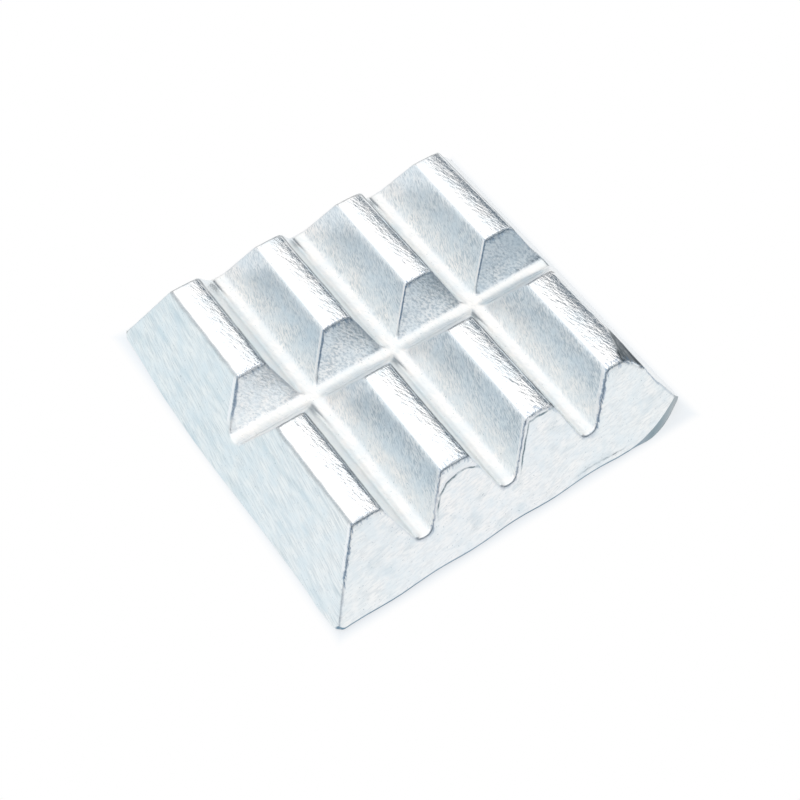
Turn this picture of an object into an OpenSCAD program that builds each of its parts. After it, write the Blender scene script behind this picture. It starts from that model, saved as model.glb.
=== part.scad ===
// Cast waffle ingot: a plate with rows of tapered lobes, parted by valleys along which it is broken
// for charging a furnace. Made in one pour in an open mould: the lobed side is the mould's, the flat
// side is the metal's own free surface. The flat side is down, and the origin is at its middle.

/* [Lobes] */
// Lobes along the length, in X
columns = 4; // [2:1:6]
// Lobes across the width, in Y
rows = 2; // [1:1:3]
// Width of a lobe's flat top, in X
lobe_top_w = 14.4; // [8:0.2:30]
// Length of a lobe's flat top, in Y
lobe_top_l = 61.4; // [30:0.2:90]
// Height of the lobes above the valleys
lobe_h = 25.6; // [15:0.2:35]

/* [Valleys] */
// Floor width of the valleys between the columns
column_valley_w = 7.6; // [5:0.2:20]
// Angle of both walls of the valleys between the columns, from upright
column_valley_angle = 27; // [15:0.5:40]
// Floor width of the valley between the rows
row_valley_w = 7.4; // [5:0.2:25]
// Angle of that valley's wall that faces -Y, from upright
row_valley_angle = 22; // [15:0.5:40]
// Angle of its wall that faces +Y, which stands wider open
row_valley_far_angle = 32; // [15:0.5:40]

/* [Plate] */
// Thickness of the plate under the valleys
plate_t = 21.6; // [12:0.2:35]
// Angle of the outer walls, from upright
outer_angle = 27; // [15:0.5:35]
// Angle of the outer wall in +X, where the mould opens wider so that the casting tips out
end_angle = 32.5; // [15:0.5:40]

/* [Edges] */
// Rounding along the edges of the lobes' tops
crest_r = 2.4; // [0.8:0.2:3.6]
// Fillet between a valley's floor and its walls
valley_r = 5; // [2:0.2:8]
// Rounding of the rim, where the free surface met the mould
rim_r = 2; // [0.8:0.2:4]

/* [Corners] */
// Rounding of the plate's corners, seen from above
corner_r = 4.5; // [2:0.5:20]
// Radius of the wide arc, seen from above, to which the metal filled the corner in +X, -Y
short_corner_r = 88; // [60:1:140]
// How far along the rim in -Y that arc reaches back from the corner
short_corner_reach = 40.5; // [15:0.5:55]

/* [Hidden] */
$fn = 96;

// How far cutting shapes run past what they cut
overrun = 5;
// How far an arc passes the flats that it joins, so that it crosses them and doesn't only touch them
arc_overlap = 0.02;
// Share of a valley's floor that its two fillets may take up
fillet_room_share = 0.98;

height = plate_t + lobe_h;

// Angles of a row's walls, each as [the one that faces -, the one that faces +]
column_angles = [column_valley_angle, column_valley_angle];
row_angles = [row_valley_angle, row_valley_far_angle];
column_end_angles = [outer_angle, end_angle];
row_end_angles = [outer_angle, outer_angle];

// How far an outer wall stands out at the bottom, and how much of that the rim's rounding takes back
function flare(angle) = height * tan(angle);
function rim_inset(angle) = rim_r / tan((90 - angle) / 2) - rim_r;

// How far a lobe's wall stands out at the valley's floor
function spread(angle) = lobe_h * tan(angle);

// Distance from lobe to lobe, and from the first lobe's outer edge to the last one's
function pitch(top, floor, angles) = top + floor + spread(angles[0]) + spread(angles[1]);
function crests(count, top, floor, angles) = (count - 1) * pitch(top, floor, angles) + top;

// Overall size between two outer walls, across the rounded rim
function overall(crests, angles) =
    crests + flare(angles[0]) + flare(angles[1]) - rim_inset(angles[0]) - rim_inset(angles[1]);

ingot_l = overall(crests(columns, lobe_top_w, column_valley_w, column_angles), column_end_angles);
ingot_w = overall(crests(rows, lobe_top_l, row_valley_w, row_angles), row_end_angles);

// A fillet is limited by the half of the valley's floor that it has to end on
function fillet(floor, angle) =
    min(valley_r, fillet_room_share * floor / 2 / tan((90 - angle) / 2));

// Section through a row of lobes between two outer walls: each point is [place, height, rounding],
// with a rounding below 0 for a fillet
function lobes_outline(count, top, floor, angles, size, end_angles) =
    let (
        step = pitch(top, floor, angles),
        start = -size / 2 - rim_inset(end_angles[0])
    )
    [
        [start, 0, rim_r],
        for (i = [0 : count - 1])
            let (
                first = start + flare(end_angles[0]) + i * step,
                last = first + top
            )
            each [
                if (i > 0) [first - spread(angles[0]), plate_t, -fillet(floor, angles[0])],
                [first, height, crest_r],
                [last, height, crest_r],
                if (i < count - 1) [last + spread(angles[1]), plate_t, -fillet(floor, angles[1])]
            ],
        [size / 2 + rim_inset(end_angles[1]), 0, rim_r]
    ];

function flat(p) = [p[0], p[1]];
function unit(v) = v / norm(v);
function toward(a, b) = unit(flat(b) - flat(a));

// The points beside point i of an outline, half of the angle there, the middle of the arc that
// rounds it, and where that arc ends towards a neighbour
function before(o, i) = o[(i + len(o) - 1) % len(o)];
function after(o, i) = o[(i + 1) % len(o)];
function half_angle(o, i) = acos(toward(o[i], before(o, i)) * toward(o[i], after(o, i))) / 2;
function arc_middle(o, i) =
    let (inward = unit(toward(o[i], before(o, i)) + toward(o[i], after(o, i))))
    flat(o[i]) + inward * abs(o[i][2]) / sin(half_angle(o, i));
function arc_end(o, i, neighbour) =
    flat(o[i]) + toward(o[i], neighbour) * abs(o[i][2]) / tan(half_angle(o, i));

// What rounding takes off a corner that points outward: a wedge past the corner, less the arc's disc
module corner_waste(o, i) {
    middle = arc_middle(o, i);
    stretch = 1 + 1 / pow(sin(half_angle(o, i)), 2);
    difference() {
        polygon([
            middle,
            middle + stretch * (arc_end(o, i, before(o, i)) - middle),
            middle + stretch * (arc_end(o, i, after(o, i)) - middle)
        ]);
        translate(middle) circle(o[i][2] + arc_overlap);
    }
}

// An outline with every outward corner rounded and every inward one filleted, by true arcs
module rounded_outline(o) {
    difference() {
        polygon([
            for (i = [0 : len(o) - 1])
                each o[i][2] > 0
                    ? [flat(o[i])]
                    : [arc_end(o, i, before(o, i)), arc_end(o, i, after(o, i))]
        ]);
        for (i = [0 : len(o) - 1])
            if (o[i][2] > 0)
                corner_waste(o, i);
            else
                translate(arc_middle(o, i)) circle(arc_overlap - o[i][2]);
    }
}

// The section of the columns drawn along Y, and that of the rows drawn along X
module columns_form() {
    rotate([90, 0, 0])
        linear_extrude(ingot_w + 2 * overrun, center = true)
            rounded_outline(lobes_outline(
                columns, lobe_top_w, column_valley_w, column_angles, ingot_l, column_end_angles
            ));
}

module rows_form() {
    rotate([90, 0, 90])
        linear_extrude(ingot_l + 2 * overrun, center = true)
            rounded_outline(lobes_outline(
                rows, lobe_top_l, row_valley_w, row_angles, ingot_w, row_end_angles
            ));
}

// The plate's plan, with its corners rounded
module plan_form() {
    half_l = ingot_l / 2;
    half_w = ingot_w / 2;
    linear_extrude(height)
        rounded_outline([
            [-half_l, -half_w, corner_r],
            [-half_l, half_w, corner_r],
            [half_l, half_w, corner_r],
            [half_l, -half_w, corner_r]
        ]);
}

// What the metal left empty at the corner in +X, -Y: all that lies past a wide upright arc, which
// leaves the rim in -Y without a kink
module short_corner() {
    side = short_corner_reach + overrun;
    translate([ingot_l / 2 - short_corner_reach, -ingot_w / 2, -overrun])
        linear_extrude(height + 2 * overrun)
            difference() {
                translate([0, -overrun]) square(side);
                translate([0, short_corner_r]) circle(short_corner_r + arc_overlap);
            }
}

module ingot() {
    color("#dde5e9")
        difference() {
            intersection() {
                columns_form();
                rows_form();
                plan_form();
            }
            short_corner();
        }
}

ingot();
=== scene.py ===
import math

import bpy
import numpy as np
from mathutils import Matrix, Vector, noise
from mathutils.bvhtree import BVHTree


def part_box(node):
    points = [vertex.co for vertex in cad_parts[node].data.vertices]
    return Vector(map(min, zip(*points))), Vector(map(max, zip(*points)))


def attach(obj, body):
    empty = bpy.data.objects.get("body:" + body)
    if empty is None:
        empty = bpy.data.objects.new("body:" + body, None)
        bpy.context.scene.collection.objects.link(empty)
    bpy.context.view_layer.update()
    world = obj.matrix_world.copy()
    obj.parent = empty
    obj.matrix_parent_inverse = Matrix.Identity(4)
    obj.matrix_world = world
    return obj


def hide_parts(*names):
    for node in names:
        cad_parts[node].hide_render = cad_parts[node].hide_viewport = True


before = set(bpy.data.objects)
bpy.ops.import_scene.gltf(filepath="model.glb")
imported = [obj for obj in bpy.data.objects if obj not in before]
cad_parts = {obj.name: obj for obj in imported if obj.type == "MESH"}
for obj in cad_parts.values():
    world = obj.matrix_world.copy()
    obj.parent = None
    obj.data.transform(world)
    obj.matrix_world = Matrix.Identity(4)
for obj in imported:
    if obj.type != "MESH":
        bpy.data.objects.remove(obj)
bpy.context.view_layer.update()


# The ingot: one casting of aluminium, poured into an open iron mould with a pocket for each lobe and
# tipped out when it had set. The lobed side has the mould's form and skin, and the flat side underneath is
# the free surface of the melt. The skin is drawn here, in mm, as one fine sheet over the two sections.
MM = 0.001
half_l, half_w, height = np.array(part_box("ingot")[1]) / MM

# The lobes: the size of a flat top, the height over the valleys, the width of the valleys' floors, and how
# far the walls lean from upright. The two walls of the valley between the rows have leans of their own.
columns = 4
lobe_top_w = 14.4
lobe_top_l = 61.4
lobe_h = 25.6
column_valley_w = 7.6
row_valley_w = 7.4
wall_lean = math.radians(27)
inner_near_lean = math.radians(22)
inner_far_lean = math.radians(32)

# The rim, where the free surface met the mould, the plate's corners, and the wide arc in plan to which the
# melt filled the corner in +X, -Y
rim_r = 2.0
corner_r = 4.5
short_corner_r = 88.0
short_corner_reach = 40.5
short_corner_tip_r = 1.0

# Where that puts the outermost tops' edges, the columns, the far row and the sheet's edge. But for the
# rim's rounding, the outer walls would meet the floor a little past the box.
rim_inset = rim_r / math.tan(math.pi / 4 - wall_lean / 2) - rim_r
crest_x = half_l + rim_inset - height * math.tan(wall_lean)
crest_y = half_w + rim_inset - height * math.tan(wall_lean)
column_pitch = lobe_top_w + column_valley_w + 2 * lobe_h * math.tan(wall_lean)
column_x = -crest_x + lobe_top_w / 2 + column_pitch * np.arange(columns)
row_y = (lobe_top_l + row_valley_w + lobe_h * (math.tan(inner_near_lean) + math.tan(inner_far_lean))) / 2
rim_bite = rim_r * (1 - math.cos(wall_lean))
edge_l = half_l - rim_bite
edge_w = half_w - rim_bite

# The two sections, read off the solid: across the columns, through the middle of a row, and across the
# rows, through the middle of the third column
section_points = 1400
solid = BVHTree.FromObject(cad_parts["ingot"], bpy.context.evaluated_depsgraph_get())


def upper_side(x, y):
    """Height of the solid's lobed side at a place in plan."""
    return solid.ray_cast(Vector((x, y, 2 * height)) * MM, Vector((0, 0, -1)))[0].z / MM


section_x = np.linspace(-edge_l, edge_l, section_points)
section_y = np.linspace(-edge_w, edge_w, section_points)
column_section = np.array([upper_side(x, row_y) for x in section_x])
row_section = np.array([upper_side(column_x[2], y) for y in section_y])

# The sheet over the lobed side: its cells, and how many of them make one cell of the underside
cells_x, cells_y = 296, 288
coarse = 8


def short_depth(x):
    """How far the wide arc at the corner in +X, -Y stands back from the rim."""
    past = np.clip(x - half_l + short_corner_reach, 0, short_corner_reach)
    return short_corner_r - np.sqrt(short_corner_r ** 2 - past ** 2)


def plan(u, v):
    """Place in plan of a point of the sheet, from -1 to 1 both ways, with the corners rounded."""
    radius = np.where((u > 0) & (v < 0), short_corner_tip_r, corner_r)
    x = np.abs(u) * edge_l
    y = np.abs(v) * edge_w
    past_x = np.clip((x - edge_l + radius) / radius, 0, 1)
    past_y = np.clip((y - edge_w + radius) / radius, 0, 1)
    x = np.sign(u) * (np.minimum(x, edge_l - radius) + radius * past_x * np.sqrt(1 - past_y ** 2 / 2))
    y = np.sign(v) * (np.minimum(y, edge_w - radius) + radius * past_y * np.sqrt(1 - past_x ** 2 / 2))
    return x, y + short_depth(x) * np.clip((-y - crest_y) / (edge_w - crest_y), 0, 1)


# Each point's row, column, and way along its lobe from the near end, 0, to the far end, 1
u, v = np.meshgrid(np.linspace(-1, 1, cells_x + 1), np.linspace(-1, 1, cells_y + 1), indexing="ij")
x, y = plan(u, v)
far_row = (y > 0).astype(int)
column = np.abs(x[..., None] - column_x).argmin(axis=-1)
last_near_lobe = (column == columns - 1) & (far_row == 0)
from_column = x - column_x[column]
along = np.clip((y - np.where(far_row, row_y, -row_y)) / lobe_top_l + 0.5, 0, 1)


def by_lobe(near_values, far_values):
    """At each point the value of its lobe, given for the columns of the near row and of the far row."""
    return np.array((near_values, far_values))[far_row, column]


def ramp(value, start, end):
    """0 at start, 1 at end, and an even S between them."""
    share = np.clip((value - start) / (end - start), 0, 1)
    return share * share * (3 - 2 * share)


# The mould's pockets are worn towards +X: each top reaches further there and rolls off. How far it drops at
# the far end, and as a share of that at the near end. The last few mm turn down more.
crest_growth = by_lobe((1.3, 1.3, 1.6, 4.0), (1.3, 1.3, 1.5, 2.8))
growth_end = 20
roll_drop = by_lobe((1.1, 1.4, 1.7, 3.2), (1.5, 1.8, 2.35, 2.4))
roll_near_share = by_lobe((0.6, 0.5, 0.8, 0.9), (0.6, 0.5, 0.4, 0.6))
roll_start = -2.0
turn_start = 4.5
turn_drop = 0.5
top_end = lobe_top_w / 2
growth = crest_growth * ramp(from_column, 0, top_end) * (1 - ramp(from_column, top_end, growth_end))
column_z = np.interp(x - growth, section_x, column_section)
rolled = np.clip((from_column - roll_start) / (top_end + crest_growth - roll_start), 0, 1) ** 2
turned = np.clip((from_column - turn_start) / (top_end + crest_growth - turn_start), 0, 1) ** 2
drop = rolled * roll_drop * (roll_near_share + (1 - roll_near_share) * along) + turned * turn_drop
column_z = column_z - drop * np.clip((column_z - height + lobe_h) / lobe_h, 0, 1)
z = np.minimum(column_z, np.interp(y, section_y, row_section))

# The near right corner of the last top is worn down, from a line through a point of the top, in a
# direction of the plan. Elsewhere the wear is far off.
far_off = 9
worn_point = (70.8, -77.4)
worn_toward = (0.91, -0.41)
worn_slope = math.tan(math.radians(26))
past_worn = (x - worn_point[0]) * worn_toward[0] + (y - worn_point[1]) * worn_toward[1]
worn_depth = np.where(last_near_lobe, z - height + drop + worn_slope * past_worn, -far_off)
z = z - np.clip(worn_depth, 0, None) * (past_worn > 0)


def blurred(field):
    """The field with each inner value halfway to the mean of the four round it."""
    out = field.copy()
    ring = field[2:, 1:-1] + field[:-2, 1:-1] + field[1:-1, 2:] + field[1:-1, :-2]
    out[1:-1, 1:-1] = field[1:-1, 1:-1] / 2 + ring / 8
    return out


# The mould's edges were dressed with a wash, so no crease of the casting is sharp
blur_passes = 2
for _ in range(blur_passes):
    z = blurred(z)

# How far the walls towards -Y, drawn on upwards, lie under the columns: 0 along the edge round the near
# side of each lobe
near_edge_y = np.where(far_row, row_y - lobe_top_l / 2, -crest_y)
near_lean = np.where(far_row, inner_near_lean, wall_lean)
over_crest = column_z - height - (y - near_edge_y) / np.tan(near_lean)

# The outer walls are bowed, as the mould was worn. At its foot the left one draws in to the far corner and
# stands out along its middle and by the near corner, and the near one waves as far as the short corner.
# A change has the places where it starts and ends, and a swelling its middle and width.
left_draw_in = 2.6
left_draw_y = (50, 104)
left_stand_out = 0.5
left_middle_swell = 1.3
left_middle_y = (15, 34)
left_near_swell = 0.8
left_near_y = (-86, 9)
near_draw_in = 0.7
near_wave_h = 0.4
near_wave_l = 46
near_wave_x = -51
near_bow_end_x = (50, 66)


def swell_at(value, middle, width):
    """A round swelling of height 1 at the middle."""
    return np.exp(-((value - middle) / width) ** 2)


def bowed(x, y):
    """The plan with the outer walls bowed in and out, most at the foot."""
    left = np.clip((-x - crest_x) / (edge_l - crest_x), 0, 1)
    near = np.clip((-y - crest_y) / (edge_w - crest_y), 0, 1)
    left_bow = left_draw_in * ramp(y, *left_draw_y) - left_stand_out
    left_bow = left_bow - left_middle_swell * swell_at(y, *left_middle_y)
    left_bow = left_bow - left_near_swell * swell_at(y, *left_near_y)
    near_bow = near_draw_in + near_wave_h * np.cos(2 * math.pi * (x - near_wave_x) / near_wave_l)
    return x + left * left_bow, y + near * near_bow * (1 - ramp(x, *near_bow_end_x))


def normals_of(points):
    """Unit normals of a sheet of points."""
    along_u = np.gradient(points, axis=0)
    along_v = np.gradient(points, axis=1)
    cross = np.cross(along_u, along_v)
    return cross / np.linalg.norm(cross, axis=-1, keepdims=True)


# The sheet in place, and each point's share of the sides that the marks of the casting lie on. A side is
# told by how far the skin's normal points its way.
wall_normal = (0.4, 0.7)
top_normal = (0.75, 0.95)
valley_normal = (0.8, 0.95)
x, y = bowed(x, y)
skin = np.stack((x, y, z), axis=-1)
skin_normals = normals_of(skin)
below_top = height - z
facing_left = ramp(-skin_normals[..., 0], *wall_normal)
facing_right = ramp(skin_normals[..., 0], *wall_normal)
facing_near = ramp(-skin_normals[..., 1], *wall_normal)
facing_far = ramp(skin_normals[..., 1], *wall_normal)
near_wall = facing_near * (y < 0)
inner_near_wall = facing_near * (y > 0)
outer_left_wall = facing_left * (x < -crest_x)
inner_left_wall = facing_left * (x > -crest_x)
outer_right_wall = facing_right * (x > crest_x)
on_top = ramp(z + drop, height - 5, height - 2.5) * ramp(skin_normals[..., 2], *top_normal)
valley_floor = (1 - ramp(z, 23, 29)) * ramp(skin_normals[..., 2], *valley_normal)


def mottle(points, size, seed):
    """Smooth noise from -1 to 1 at points in mm, with blobs of that size in x, y and z."""
    flat = points.reshape(-1, 3) / np.array(size) + seed
    return np.array([noise.noise(Vector(p)) for p in flat]).reshape(points.shape[:-1])


# What the mould and the pour left on it: a slow swell, two lengths of ripples and a grit, each with its
# height, its size and its seed
relief = np.zeros(x.shape)
for ripple_h, ripple_size, ripple_seed in (
    (0.30, (38, 38, 38), 3.1),
    (0.10, (11, 16, 11), 7.7),
    (0.05, (3.5, 6, 3.5), 13.3),
    (0.03, (1.6, 1.9, 1.6), 17.9),
):
    relief += ripple_h * mottle(skin, ripple_size, ripple_seed)

# Blow holes: where they are, and how wide
blow_holes = (
    ((55.8, -95.9, 12.6), 0.9),
    ((59.1, -96.8, 10.8), 1.0),
    ((66.0, -99.3, 5.9), 0.8),
    ((77.3, -96.9, 10.6), 0.9),
    ((82.5, -96.5, 11.4), 1.0),
    ((38.3, -80.8, 42.3), 0.8),
    ((-71.0, 10.9, 32.3), 1.1),
    ((-87.4, -82.2, 39.6), 1.1),
    ((-89.5, -85.0, 34.0), 1.3),
)
hole_depth = 0.3
for hole_place, hole_r in blow_holes:
    away = np.linalg.norm(skin - np.array(hole_place), axis=-1)
    relief -= hole_depth * swell_at(away, 0, hole_r)
skin = skin + relief[..., None] * skin_normals

# Laps, where a skin of metal set before the rest and stands proud: round an arch on the near wall of the
# second lobe, along the hip and top of the third, and as a lip over the near rim. Each point has its
# distance in mm to the proud skin's edge, and a share for how deep the step is there.
arch_middle = (-25.0, 24.0)
arch_r = 17.4
band_w = 2.4
lip_h = 5.0
lip_strength = 0.3
lip_zone_top = 14
lap_half_w = 20
from_arch = np.hypot(x - arch_middle[0], z - arch_middle[1]) - arch_r
arch_share = ramp(z, 22, 33) * (np.abs(x - column_x[1]) < lap_half_w)
left_hip = column_x[2] - lobe_top_w / 2 - below_top * math.tan(wall_lean)
from_band = band_w - np.minimum(x - left_hip, below_top)
band_share = ramp(z, 20, 28) * (np.abs(x - column_x[2]) < lap_half_w)
lip_share = lip_strength * (1 - ramp(z, 8, 12)) * ramp(x, 28, 40) * (1 - ramp(x, 56, 68))
lap = np.where(x < (column_x[1] + column_x[2]) / 2, from_arch, from_band)
lap = np.where(z < lip_zone_top, lip_h - z, lap) + 0.6 * mottle(skin, (3, 3, 3), 23.1)
lap_depth = near_wall * np.where(z < lip_zone_top, lip_share, arch_share + band_share)
lap_depth = lap_depth * (0.5 + 0.5 * ramp(mottle(skin, (4, 4, 4), 27.7), -0.35, 0.25))

# The skin's grain. It runs its own way on each side of a lobe, as the metal lay against the mould there:
# the side's share of a point, the grain's way, and how wide and how long a grain is
grain_sides = (
    (on_top, (0.25, -0.97, 0.0), 1.35, 4.2),
    (inner_left_wall, (-0.23, -0.85, -0.45), 0.6, 2.8),
    (outer_left_wall, (-0.08, -0.97, -0.20), 0.8, 8.0),
    (outer_right_wall, (0.08, -0.97, -0.20), 0.8, 8.0),
    (near_wall, (0.98, 0.0, 0.20), 1.0, 4.0),
    (facing_far, (0.98, 0.0, 0.20), 1.0, 4.0),
    (inner_near_wall, (0.60, -0.30, -0.74), 1.0, 2.2),
)
side = np.argmax([side_share for side_share, *_ in grain_sides], axis=0)


def in_grains(places, side):
    """Places counted in grains: across, along and through the grain of the side that each is on."""
    counted = np.zeros_like(places)
    for number, (_, way, grain_w, grain_l) in enumerate(grain_sides):
        turn = np.array(Vector((0, 1, 0)).rotation_difference(Vector(way)).to_matrix())
        in_side = (side == number)[..., None]
        counted = np.where(in_side, places @ turn / (grain_w, grain_l, grain_w), counted)
    return counted


# The worn corner's skin, with a ragged edge and paler spots
worn_edge = worn_depth + 0.5 * mottle(skin, (2.5, 4, 2.5), 29.3)
worn_spots = ramp(mottle(skin, (1.6, 2.2, 1.6), 31.7), -0.1, 0.5)
worn = ramp(worn_edge, -0.5, 0.6) * (over_crest < 0.3) * (past_worn > -1.5) * (1 - 0.2 * worn_spots)

# How deep the grain is, as grit, most where the tops roll off, at their far ends and on the worn corner,
# and how much it darkens the colour, as streaks. Then the same for each side, with its share of a point:
# the near row's inner walls are streaked above and clear below, and the right walls are the smoothest.
plain_grit = 0.06
plain_streak = 0.25
inner_near_streak = np.array((0.5, 1.05, 1.15, 1.05))[column]
near_row_left_wall = (1 - far_row) * inner_left_wall
last_lobe_grit_w = 3.5
from_grain = from_column + np.where(last_near_lobe, last_lobe_grit_w, 0)
roll_grit = ramp(from_grain, -5, 2) * (1 - 0.45 * ramp(from_column, 4, 8))
far_end_grit = ramp(along, 0.93, 1)
grit = plain_grit + (1 - plain_grit) * on_top * np.maximum(roll_grit, far_end_grit)
streak = np.full(x.shape, plain_streak)
for side_share, side_grit, side_streak in (
    (inner_left_wall, 0.38, 0.85),
    (outer_left_wall, 0.16, 0.35),
    (near_wall, 0.16, 0.15),
    (facing_far, 0.16, 0.25),
    (inner_near_wall, 0.85, inner_near_streak),
    (near_row_left_wall, 0.0, 0.6 * ramp(z, 28, 40) - 0.35),
    (on_top, 0.0, -0.1),
    (worn, 1.0, 0.5),
):
    grit = np.maximum(grit, side_grit * side_share)
    streak = streak + side_streak * side_share
grit = grit * (1 - 0.9 * facing_right) + 0.14 * outer_right_wall
streak = streak * (1 - 0.8 * facing_right) + 0.4 * outer_right_wall

# How rough the skin is: smoothest on the tops
plain_rough = 0.28
rough = plain_rough - 0.13 * on_top + 0.08 * inner_left_wall + 0.03 * inner_near_wall

# The painted dark line along the edge round the near side of each lobe, a painted reflection: how strong
# and how wide it is on the left hips, and how strong on the right hips and on the tops' near edges. It is
# faint in the mouths of the valleys. Beside it the left hips have a painted white highlight.
hip_strength = by_lobe((0.75, 0.55, 0.6, 0.7), (0.7, 0.7, 0.85, 0.7))
hip_width = by_lobe((1.2, 1.2, 1.0, 1.5), (1.7, 1.4, 1.0, 1.0))
right_hip_share = by_lobe((0.4, 0.4, 0.4, 1.0), (0.4, 0.4, 0.4, 0.5))
near_edge_strength = by_lobe((0.4, 0.4, 0.55, 0.5), (0.45, 0.55, 0.55, 0.4))
hip_highlight_share = by_lobe((0.7, 0.5, 0.6, 0.7), (0.7, 0.7, 0.9, 0.8))
mouth_strength = 0.25
mouth_tooth = 0.15
on_hip = ramp(-from_column, 5.5, 8.5)
off_hip = ramp(from_column, 7, 10)
in_mouth = (np.abs(from_column) > 19.5) & (z < 25)
crest_painted_reflection = near_edge_strength * (1 - on_hip) + hip_strength * on_hip
crest_painted_reflection = crest_painted_reflection * (1 - off_hip * (1 - right_hip_share))
crest_painted_reflection = np.where(in_mouth, mouth_strength, crest_painted_reflection)
crest_painted_reflection = crest_painted_reflection * np.where(far_row, ramp(z, 27, 31), 1)
crest = over_crest / np.where(on_hip > 0.5, hip_width, 1.0) + 0.5 * mottle(skin, (3, 4, 4), 33.9)
hip_tooth = np.where(far_row, 0.1, 0.35)
tooth = np.where(in_mouth, mouth_tooth, 1 - on_hip + on_hip * hip_tooth) * (1 - 0.8 * off_hip)
# The painted white highlight beside the left hips, on their upper part
hip_highlight = hip_highlight_share * ramp(on_hip, 0.6, 1) * ramp(z, 24, 28)

# The painted dark line round the rest of a top, a painted reflection strongest on its right side: the
# distance to it, which is below 0 on the top, and how strong it is. It wavers, and fades in places.
right_edge_strength = by_lobe((0.75, 0.9, 1.0, 0.95), (0.75, 0.75, 0.9, 0.9))
left_edge_strength = np.array((0.35, 0.0, 0.0, 0.0))[column]
far_edge_strength = 0.5
past_right = from_column - top_end - crest_growth
past_far = y - near_edge_y - lobe_top_l
past_left = -from_column - top_end
from_edge = np.maximum(np.maximum(past_right, past_left), past_far)
edge_painted_reflection = np.where(past_right > past_left, right_edge_strength, left_edge_strength)
edge_painted_reflection = np.where(past_far >= from_edge, far_edge_strength, edge_painted_reflection)
edge_painted_reflection = edge_painted_reflection * ramp(z, height - 9, height - 6) * ramp(-over_crest, -0.3, 0.3)
edge_painted_reflection = edge_painted_reflection * (0.6 + 0.4 * ramp(mottle(skin, (4, 8, 4), 39.1), -0.5, 0.0))
from_edge = from_edge + 0.4 * mottle(skin, (3, 5, 3), 37.3)


def linear(code):
    """An sRGB hex colour as linear red, green, blue and full alpha."""
    shares = [int(code[n:n + 2], 16) / 255 for n in (1, 3, 5)]
    return [s / 12.92 if s <= 0.04045 else ((s + 0.055) / 1.055) ** 2.4 for s in shares] + [1]


def tinted(ground, code, share):
    """The colours of the ground, multiplied with a colour by a share."""
    return ground * (1 - share[..., None] * (1 - np.array(linear(code))))


# The skin's colour, stains and painted shade on plain metal: a painted bluish tint for the darker, bluer
# reflection of the outer left wall and a fainter one on the near wall, smudges on both, painted shading
# on the inner left walls, bluish above and warm below, a faint painted grey shade on the walls opposite
# and in the valleys, painted grey shade on the far row's near walls, and dark grey on the worn corner
smudges_near = ramp(mottle(skin, (9, 5, 5), 41.3), 0.15, 0.55)
smudges_left = ramp(mottle(skin, (4, 22, 4), 43.7), 0.1, 0.5)
# Painted grey shade on the far row's near walls: a share by column, more towards the right and the top
inner_near_painted_shade = np.array((0.0, 0.3, 0.4, 0.8))[column]
inner_near_shade = np.array((0.2, 0.5, 0.5, 0.5))[column] * ramp(from_column + z - 34, -4, 16)
stain_and_shade = np.ones(x.shape + (4,))
for stain_and_shade_code, stain_and_shade_share in (
    ("#eef6f8", outer_left_wall * (1 - 0.35 * ramp(-y, -20, 90))),
    ("#fcfefe", near_wall * (0.2 + 0.8 * ramp(np.abs(x + 20), 20, 90))),
    ("#dce5ea", 0.3 * near_wall * smudges_near),
    ("#d3e0e6", 0.35 * outer_left_wall * smudges_left),
    ("#f3f8fb", inner_left_wall * ramp(z, 26, 40)),
    ("#fffdfb", inner_left_wall * (1 - ramp(z, 26, 40))),
    ("#f6f9fa", facing_right * (1 - outer_right_wall)),
    ("#f5f4f2", valley_floor),
    ("#d6dde2", inner_near_wall * (inner_near_painted_shade + inner_near_shade)),
    ("#525b61", worn),
):
    stain_and_shade = tinted(stain_and_shade, stain_and_shade_code, stain_and_shade_share)

# The rim: from the sheet's edge round to the underside, upright under the walls where the corner is short.
# It is rounded less there, above and below, and bulges at the foot.
short_upper_r = 0.5
short_lower_r = 0.8
short_bulge = 1.6
loop = [(i, 0) for i in range(cells_x)]
loop += [(cells_x, j) for j in range(cells_y)]
loop += [(i, cells_y) for i in range(cells_x, 0, -1)]
loop += [(0, j) for j in range(cells_y, 0, -1)]
loop_i, loop_j = np.array(loop).T
edge = skin[loop_i, loop_j]
tangent = np.roll(edge[:, :2], -1, axis=0) - np.roll(edge[:, :2], 1, axis=0)
outward = np.stack((tangent[:, 1], -tangent[:, 0]), axis=-1)
outward /= np.linalg.norm(outward, axis=-1, keepdims=True)
cut = np.where(loop_j == 0, ramp(edge[:, 0], 66, 80), 0)
upper_r = rim_r + cut * (short_upper_r - rim_r)
lower_r = rim_r + cut * (short_lower_r - rim_r)
fitting = np.minimum(1, edge[:, 2] / (upper_r * math.sin(wall_lean) + lower_r))
upper_r = upper_r * fitting
lower_r = lower_r * fitting
belly = upper_r * (1 - math.cos(wall_lean))
belly_top = edge[:, 2] - upper_r * math.sin(wall_lean)
profile = []
for turn in (wall_lean / 2, 0):
    out = upper_r * (math.cos(turn) - math.cos(wall_lean))
    profile.append((out, belly_top + upper_r * math.sin(turn)))
for share in (0.5, 1.0):
    profile.append((belly, belly_top + share * (lower_r - belly_top)))
for turn in np.radians((30, 60, 90)):
    profile.append((belly - lower_r * (1 - math.cos(turn)), lower_r * (1 - math.sin(turn))))
bulge = short_bulge * cut * (1 - ramp(edge[:, 0], 84, 106))
rim = []
for out, rise in profile:
    out = out + bulge * ramp(edge[:, 2] - rise, 0, edge[:, 2])
    rim.append(np.concatenate((edge[:, :2] + out[:, None] * outward, rise[:, None]), axis=1))
rim_steps = len(rim)

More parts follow.
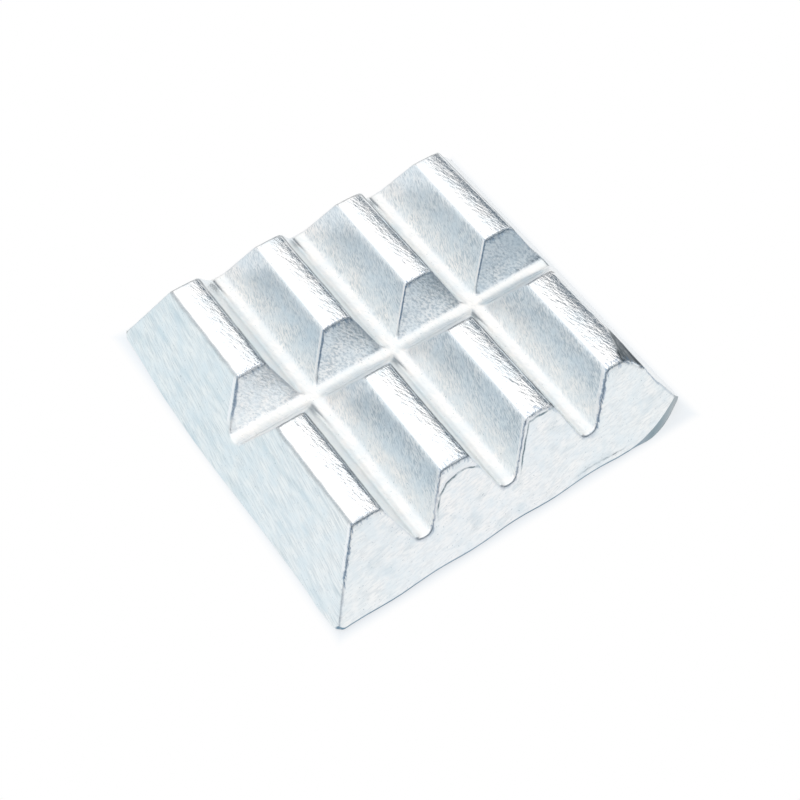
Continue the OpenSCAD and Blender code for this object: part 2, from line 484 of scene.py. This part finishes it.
# The rim's colour, painted shade: bluer towards the floor along the near side as a painted contact shadow,
# and a dull grey up the short corner, painted for the shadowed floor it mirrors, which darkens to its tip
rim_near = ramp(-outward[:, 1], 0.5, 0.8)
rim_stain_and_shade = []
for step in range(rim_steps):
    lower = ramp(np.array(step), -1.5, 0.7)
    ring_stain_and_shade = tinted(stain_and_shade[loop_i, loop_j], "#5f859d", lower * (0.1 + 0.9 * rim_near) * (1 - cut))
    ring_stain_and_shade = tinted(ring_stain_and_shade, "#96a6ae", cut)
    rim_stain_and_shade.append(tinted(ring_stain_and_shade, "#b0bfc6", cut * ramp(edge[:, 0], 92, 104)))

# The underside: a coarser sheet, hollowed a little by shrinkage and rippled as the melt set
under_inset = 0.95
hollow_slope = 1.2
hollow_h = 0.5
set_ripple_h = 0.7
under_u, under_v = np.meshgrid(
    np.linspace(-1, 1, cells_x // coarse + 1), np.linspace(-1, 1, cells_y // coarse + 1), indexing="ij"
)
under_x, under_y = bowed(*plan(under_u, under_v))
under = np.stack((under_x * under_inset, under_y * under_inset, np.zeros_like(under_x)), axis=-1)
inner = np.clip(hollow_slope * (1 - np.maximum(np.abs(under_u), np.abs(under_v))), 0, 1)
set_ripples = 0.5 + 0.5 * mottle(under, (24, 18, 30), 21.9)
under[..., 2] = inner * (hollow_h + set_ripple_h * set_ripples)

# All points in one list, and the faces between them: the sheet, the rim's rings, the ring that joins the
# rim to the coarser underside, and the underside
points = np.concatenate([skin.reshape(-1, 3)] + rim + [under.reshape(-1, 3)])
rows = cells_y + 1
under_rows = cells_y // coarse + 1
faces = []
for i in range(cells_x):
    for j in range(cells_y):
        faces.append((i * rows + j, (i + 1) * rows + j, (i + 1) * rows + j + 1, i * rows + j + 1))
around = len(loop)
rings = [[i * rows + j for i, j in loop]]
first = (cells_x + 1) * rows
for step in range(rim_steps):
    rings.append(list(range(first + step * around, first + (step + 1) * around)))
for upper, lower in zip(rings, rings[1:]):
    for k in range(around):
        after = (k + 1) % around
        faces.append((upper[k], lower[k], lower[after], upper[after]))
under_first = first + rim_steps * around
under_loop = [
    under_first + i // coarse * under_rows + j // coarse
    for i, j in loop if i % coarse == 0 and j % coarse == 0
]
foot_ring = rings[-1]
for k in range(len(under_loop)):
    fine = [foot_ring[(k * coarse + n) % around] for n in range(coarse + 1)]
    faces.append((*fine[::-1], under_loop[k], under_loop[(k + 1) % len(under_loop)]))
for i in range(cells_x // coarse):
    for j in range(cells_y // coarse):
        corner = under_first + i * under_rows + j
        faces.append((corner, corner + 1, corner + under_rows + 1, corner + under_rows))
ingot_mesh = bpy.data.meshes.new("ingot_skin")
ingot_mesh.from_pydata((points * MM).tolist(), [], faces)
ingot_mesh.validate()
ingot_mesh.shade_smooth()

# What the material reads at each point: the marks on the sheet, with what the rim and underside have of
# each, the place in grains, and the stains with the painted shade
lap_far_off = 3
rim_grit = 0.1
rim_streak = 0.1
mark_fields = {
    "crest": (np.clip(crest, -far_off, far_off), -far_off),
    "crest_painted_reflection": (crest_painted_reflection, 0),
    "tooth": (tooth, 0),
    "hip_highlight": (hip_highlight, 0),
    "from_edge": (np.clip(from_edge, -far_off, far_off), -far_off),
    "edge_painted_reflection": (edge_painted_reflection, 0),
    "grit": (grit, rim_grit),
    "streak": (streak, rim_streak),
    "rough": (rough, plain_rough),
    "lap": (np.clip(lap, -lap_far_off, lap_far_off), lap_far_off),
    "lap_depth": (lap_depth, 0),
}
for name, (field, rest) in mark_fields.items():
    values = np.full(len(points), rest, np.float32)
    values[:field.size] = field.ravel()
    ingot_mesh.attributes.new(name, "FLOAT", "POINT").data.foreach_set("value", values)
grains = [in_grains(skin, side).reshape(-1, 3)]
grains += [in_grains(ring, side[loop_i, loop_j]) for ring in rim]
grains += [in_grains(under, np.zeros(under[..., 0].shape)).reshape(-1, 3)]
ingot_mesh.attributes.new("grains", "FLOAT_VECTOR", "POINT").data.foreach_set(
    "vector", np.concatenate(grains).astype(np.float32).ravel()
)
colours = np.concatenate([stain_and_shade.reshape(-1, 4)] + rim_stain_and_shade + [np.ones((under[..., 0].size, 4))])
ingot_mesh.attributes.new("stain_and_shade", "FLOAT_COLOR", "POINT").data.foreach_set(
    "color", colours.astype(np.float32).ravel()
)
ingot = bpy.data.objects.new("ingot_skin", ingot_mesh)
bpy.context.scene.collection.objects.link(ingot)


def add(tree, kind, inputs, **settings):
    """Adds a node with its settings; an input given a socket is linked, and one given a value is set."""
    new = tree.nodes.new(kind)
    for name, value in settings.items():
        setattr(new, name, value)
    for name, value in inputs.items():
        if isinstance(value, bpy.types.NodeSocket):
            tree.links.new(value, new.inputs[name])
        else:
            new.inputs[name].default_value = value
    return new


# Aluminium as cast against a dressed iron mould: a satin silver, cloudy and a little warm in places,
# pebbled where the mould is worn, streaked down the pockets' walls, with a painted blue-grey reflection as
# a line along near edges
cast_aluminium = bpy.data.materials.new("cast_aluminium")
cast_aluminium.use_nodes = True
tree = cast_aluminium.node_tree
tree.nodes.clear()
place = add(tree, "ShaderNodeTexCoord", {}).outputs["Object"]
marks = {
    name: add(tree, "ShaderNodeAttribute", {}, attribute_name=name).outputs["Fac"] for name in mark_fields
}
grain_place = add(tree, "ShaderNodeAttribute", {}, attribute_name="grains").outputs["Vector"]
stain_and_shade_mark = add(tree, "ShaderNodeAttribute", {}, attribute_name="stain_and_shade").outputs["Color"]

# Colour: the stains and painted shade on clouded metal, with its grain, darker in patches, and a few specks
cloud_size = 10 * MM
speck_size = 0.9 * MM
cloud = add(
    tree, "ShaderNodeTexNoise", {"Vector": place, "Scale": 1 / cloud_size, "Detail": 5.0, "Roughness": 0.6}
)
cloudy = add(
    tree, "ShaderNodeMapRange", {"Value": cloud.outputs["Fac"], "From Min": 0.36, "From Max": 0.62}
)
clouded = add(
    tree, "ShaderNodeMix",
    {"Factor": cloudy.outputs[0], "A": linear("#f2f7fa"), "B": linear("#fffefd")}, data_type="RGBA",
)
skin_tone = add(
    tree, "ShaderNodeMix", {"Factor": 1.0, "A": clouded.outputs["Result"], "B": stain_and_shade_mark},
    data_type="RGBA", blend_type="MULTIPLY",
)
grain = add(
    tree, "ShaderNodeTexNoise", {"Vector": grain_place, "Scale": 1.0, "Detail": 3.0, "Roughness": 0.55}
)
grain_dark = add(
    tree, "ShaderNodeMapRange", {"Value": grain.outputs["Fac"], "From Min": 0.43, "From Max": 0.63}
)
patchy = add(
    tree, "ShaderNodeMapRange",
    {"Value": cloud.outputs["Fac"], "From Min": 0.35, "From Max": 0.6, "To Min": 0.4, "To Max": 1.0},
)
grain_where = add(
    tree, "ShaderNodeMath", {0: patchy.outputs[0], 1: marks["streak"]}, operation="MULTIPLY"
)
grain_share = add(
    tree, "ShaderNodeMath", {0: grain_dark.outputs[0], 1: grain_where.outputs[0]}, operation="MULTIPLY"
)
grained_tone = add(
    tree, "ShaderNodeMix",
    {"Factor": grain_share.outputs[0], "A": skin_tone.outputs["Result"], "B": linear("#d0d8de")},
    data_type="RGBA", blend_type="MULTIPLY",
)
speck = add(tree, "ShaderNodeTexNoise", {"Vector": place, "Scale": 1 / speck_size, "Detail": 1.0})
speck_share = add(
    tree, "ShaderNodeMapRange",
    {"Value": speck.outputs["Fac"], "From Min": 0.70, "From Max": 0.76, "To Min": 0.0, "To Max": 0.6},
)
specked_tone = add(
    tree, "ShaderNodeMix",
    {"Factor": speck_share.outputs[0], "A": grained_tone.outputs["Result"], "B": linear("#a9b7bf")},
    data_type="RGBA", blend_type="MULTIPLY",
)

# Then the painted dark lines, broken into beads: painted reflections along the near edges, toothed, and
# round the rest of the tops, and painted shade under the laps. Beside the hips and over the laps lies a
# painted highlight, a white line made less of a mirror so that it shows white. Each line fades in between
# two places, in mm, and out between two more.
tooth_size = (1.1 * MM, 4.5 * MM, 4.5 * MM)
painted_highlight = "#ffffff"
tooth_place = add(
    tree, "ShaderNodeMapping", {"Vector": place, "Scale": tooth_size}, vector_type="TEXTURE"
)
tooth_noise = add(
    tree, "ShaderNodeTexNoise", {"Vector": tooth_place.outputs[0], "Scale": 1.0, "Detail": 3.0}
)
tooth_reach = add(
    tree, "ShaderNodeMapRange",
    {
        "Value": tooth_noise.outputs["Fac"], "From Min": 0.40, "From Max": 0.66,
        "To Min": -1.0, "To Max": 6.0,
    },
)
toothed_crest = add(
    tree, "ShaderNodeMath", {0: tooth_reach.outputs[0], 1: marks["tooth"], 2: marks["crest"]},
    operation="MULTIPLY_ADD",
)
bead = add(
    tree, "ShaderNodeMapRange",
    {"Value": speck.outputs["Fac"], "From Min": 0.36, "From Max": 0.56, "To Min": 0.7, "To Max": 1.0},
)
tone = specked_tone.outputs["Result"]
mirror = 1.0
for line_place, line_start, line_end, line_strength, line_code in (
    (toothed_crest.outputs[0], (-1.0, 0.2), (1.2, 2.6), marks["crest_painted_reflection"], "#46749a"),
    (marks["from_edge"], (-1.1, -0.4), (0.1, 1.1), marks["edge_painted_reflection"], "#2c3a47"),
    (marks["lap"], (-1.0, -0.3), (0.0, 0.5), marks["lap_depth"], "#7d949f"),
    (marks["crest"], (-4.4, -3.4), (-1.4, -0.7), marks["hip_highlight"], painted_highlight),
    (marks["lap"], (0.3, 0.8), (1.2, 1.8), marks["lap_depth"], painted_highlight),
):
    begun = add(
        tree, "ShaderNodeMapRange",
        {"Value": line_place, "From Min": line_start[0], "From Max": line_start[1]},
        interpolation_type="SMOOTHSTEP",
    )
    ended = add(
        tree, "ShaderNodeMapRange",
        {"Value": line_place, "From Min": line_end[1], "From Max": line_end[0]},
        interpolation_type="SMOOTHSTEP",
    )
    line_share = begun.outputs[0]
    for part in (ended.outputs[0], bead.outputs[0], line_strength):
        line_share = add(
            tree, "ShaderNodeMath", {0: line_share, 1: part}, operation="MULTIPLY"
        ).outputs[0]
    tone = add(
        tree, "ShaderNodeMix", {"Factor": line_share, "A": tone, "B": linear(line_code)}, data_type="RGBA"
    ).outputs["Result"]
    if line_code == painted_highlight:
        mirror = add(
            tree, "ShaderNodeMath", {0: mirror, 1: line_share}, operation="SUBTRACT"
        ).outputs[0]

# Relief finer than the sheet: the grain, and the laps' steps
grain_h = 0.5 * MM
lap_h = 0.55 * MM
grained = add(
    tree, "ShaderNodeBump",
    {"Height": grain.outputs["Fac"], "Distance": grain_h, "Strength": marks["grit"]},
)
lap_step = add(
    tree, "ShaderNodeMapRange", {"Value": marks["lap"], "From Min": -0.4, "From Max": 0.4},
    interpolation_type="SMOOTHSTEP",
)
lapped = add(
    tree, "ShaderNodeBump",
    {
        "Height": lap_step.outputs[0], "Distance": lap_h, "Strength": marks["lap_depth"],
        "Normal": grained.outputs[0],
    },
)
metal = add(
    tree, "ShaderNodeBsdfPrincipled",
    {"Base Color": tone, "Metallic": mirror, "Roughness": marks["rough"], "Normal": lapped.outputs[0]},
)
add(tree, "ShaderNodeOutputMaterial", {"Surface": metal.outputs[0]})
ingot_mesh.materials.append(cast_aluminium)
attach(ingot, "root")
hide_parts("ingot")


# The floor: a sheet of card, coated white and matt, laid flat on the table under the ingot. It is larger
# than what the camera sees, so that its edges lie outside the picture.
floor_half = 900 * MM
floor_mesh = bpy.data.meshes.new("floor")
floor_corners = [
    (-floor_half, -floor_half, 0), (floor_half, -floor_half, 0),
    (floor_half, floor_half, 0), (-floor_half, floor_half, 0),
]
floor_mesh.from_pydata(floor_corners, [], [(0, 1, 2, 3)])
floor = bpy.data.objects.new("floor", floor_mesh)
bpy.context.scene.collection.objects.link(floor)

# White card: overexposed to plain white, but for a pale bluish shadow close round the ingot's sides. The
# least white that the camera gets there, where the shadow starts and ends, and what the metal mirrors of it
shadow_white = 0.7
shadow_start = -1 * MM
shadow_end = 5 * MM
mirrored_white = 0.90
white_card = bpy.data.materials.new("white_card")
white_card.use_nodes = True
tree = white_card.node_tree
tree.nodes.clear()
path = add(tree, "ShaderNodeLightPath", {})
floor_place = add(tree, "ShaderNodeTexCoord", {}).outputs["Object"]
from_middle = add(tree, "ShaderNodeVectorMath", {0: floor_place}, operation="ABSOLUTE")
from_sides = add(
    tree, "ShaderNodeVectorMath",
    {0: from_middle.outputs[0], 1: (half_l * MM, half_w * MM, 0)}, operation="SUBTRACT",
)
past_sides = add(tree, "ShaderNodeSeparateXYZ", {0: from_sides.outputs[0]})
from_ingot = add(
    tree, "ShaderNodeMath", {0: past_sides.outputs["X"], 1: past_sides.outputs["Y"]}, operation="MAXIMUM"
)
whitened = add(
    tree, "ShaderNodeMapRange",
    {
        "Value": from_ingot.outputs[0], "From Min": shadow_start, "From Max": shadow_end,
        "To Min": shadow_white, "To Max": 1.0,
    },
    interpolation_type="SMOOTHSTEP",
)
to_camera = add(
    tree, "ShaderNodeMath",
    {0: path.outputs["Is Camera Ray"], 1: whitened.outputs[0]}, operation="MULTIPLY",
)
to_metal = add(
    tree, "ShaderNodeMath", {0: path.outputs["Is Glossy Ray"], 1: mirrored_white}, operation="MULTIPLY"
)
white_share = add(
    tree, "ShaderNodeMath", {0: to_camera.outputs[0], 1: to_metal.outputs[0]}, operation="MAXIMUM"
)
card = add(tree, "ShaderNodeBsdfDiffuse", {"Color": linear("#d9e9f7")})
glow = add(tree, "ShaderNodeEmission", {"Color": linear("#ffffff"), "Strength": 1.0})
mixed = add(
    tree, "ShaderNodeMixShader", {0: white_share.outputs[0], 1: card.outputs[0], 2: glow.outputs[0]}
)
add(tree, "ShaderNodeOutputMaterial", {"Surface": mixed.outputs[0]})
floor_mesh.materials.append(white_card)


# The light: a wide soft ceiling and a white backdrop behind and to the left, while the front and right of
# the room, where nothing is lit, stay a dim blue and give the metal its dark sides. Each change has where
# it starts and ends: the dim side as a cosine from its middle, and heights over the horizon as sines.
dim_azimuth = math.radians(-52)
dim_colour = "#5d6c79"
dim_start = (-0.30, 0.05)
horizon_end = (math.sin(math.radians(3)), math.sin(math.radians(14)))
dim_end = (math.sin(math.radians(27)), math.sin(math.radians(45)))
ceiling_start = (math.sin(math.radians(25)), math.sin(math.radians(55)))
wall_level = 0.95
ceiling_level = 1.22
world = bpy.data.worlds.new("studio")
bpy.context.scene.world = world
world.use_nodes = True
tree = world.node_tree
tree.nodes.clear()
direction = add(tree, "ShaderNodeTexCoord", {}).outputs["Generated"]
rise = add(tree, "ShaderNodeSeparateXYZ", {0: direction}).outputs["Z"]
towards_dim = add(
    tree, "ShaderNodeVectorMath",
    {0: direction, 1: (math.cos(dim_azimuth), math.sin(dim_azimuth), 0)}, operation="DOT_PRODUCT",
)
dim_side = add(
    tree, "ShaderNodeMapRange",
    {"Value": towards_dim.outputs["Value"], "From Min": dim_start[0], "From Max": dim_start[1]},
    interpolation_type="SMOOTHSTEP",
)
dim_band = add(
    tree, "ShaderNodeMapRange",
    {"Value": rise, "From Min": dim_end[0], "From Max": dim_end[1], "To Min": 1.0, "To Max": 0.0},
    interpolation_type="SMOOTHSTEP",
)
over_horizon = add(
    tree, "ShaderNodeMapRange",
    {"Value": rise, "From Min": horizon_end[0], "From Max": horizon_end[1]},
    interpolation_type="SMOOTHSTEP",
)
dim_height = add(
    tree, "ShaderNodeMath", {0: dim_band.outputs[0], 1: over_horizon.outputs[0]}, operation="MULTIPLY"
)
dim_share = add(
    tree, "ShaderNodeMath", {0: dim_side.outputs[0], 1: dim_height.outputs[0]}, operation="MULTIPLY"
)
overhead = add(
    tree, "ShaderNodeMapRange",
    {
        "Value": rise, "From Min": ceiling_start[0], "From Max": ceiling_start[1],
        "To Min": wall_level, "To Max": ceiling_level,
    },
    interpolation_type="SMOOTHSTEP",
)
room = add(
    tree, "ShaderNodeMix",
    {"Factor": dim_share.outputs[0], "A": overhead.outputs[0], "B": linear(dim_colour)}, data_type="RGBA",
)
path = add(tree, "ShaderNodeLightPath", {})
seen_room = add(tree, "ShaderNodeBackground", {"Color": room.outputs["Result"], "Strength": 1.0})
backdrop = add(tree, "ShaderNodeBackground", {"Color": linear("#ffffff"), "Strength": 1.0})
both = add(
    tree, "ShaderNodeMixShader",
    {0: path.outputs["Is Camera Ray"], 1: seen_room.outputs[0], 2: backdrop.outputs[0]},
)
add(tree, "ShaderNodeOutputWorld", {"Surface": both.outputs[0]})


# The camera: above the near left side, with a long lens, aimed at a point by the ingot's middle and turned
# a little about its own axis, as the photo is
camera_azimuth = math.radians(-35.54)
camera_elevation = math.radians(56.71)
camera_roll = math.radians(0.578)
camera_target = Vector((-10.97, -14.22, 4.52)) * MM
camera_distance = 754.1 * MM
back = Vector((
    math.sin(camera_azimuth) * math.cos(camera_elevation),
    -math.cos(camera_azimuth) * math.cos(camera_elevation),
    math.sin(camera_elevation),
))
level = Vector((math.cos(camera_azimuth), math.sin(camera_azimuth), 0))
upward = back.cross(level)
across = math.cos(camera_roll) * level + math.sin(camera_roll) * upward
upward = back.cross(across)
camera = bpy.data.cameras.new("camera")
camera.lens = 68.42
camera.sensor_width = 36.0
photo_camera = bpy.data.objects.new("camera", camera)
turned_to_target = Matrix((across, upward, back)).transposed().to_4x4()
photo_camera.matrix_world = Matrix.Translation(camera_target + camera_distance * back) @ turned_to_target
bpy.context.scene.collection.objects.link(photo_camera)
bpy.context.scene.camera = photo_camera
bpy.context.scene.view_settings.view_transform = "Standard"
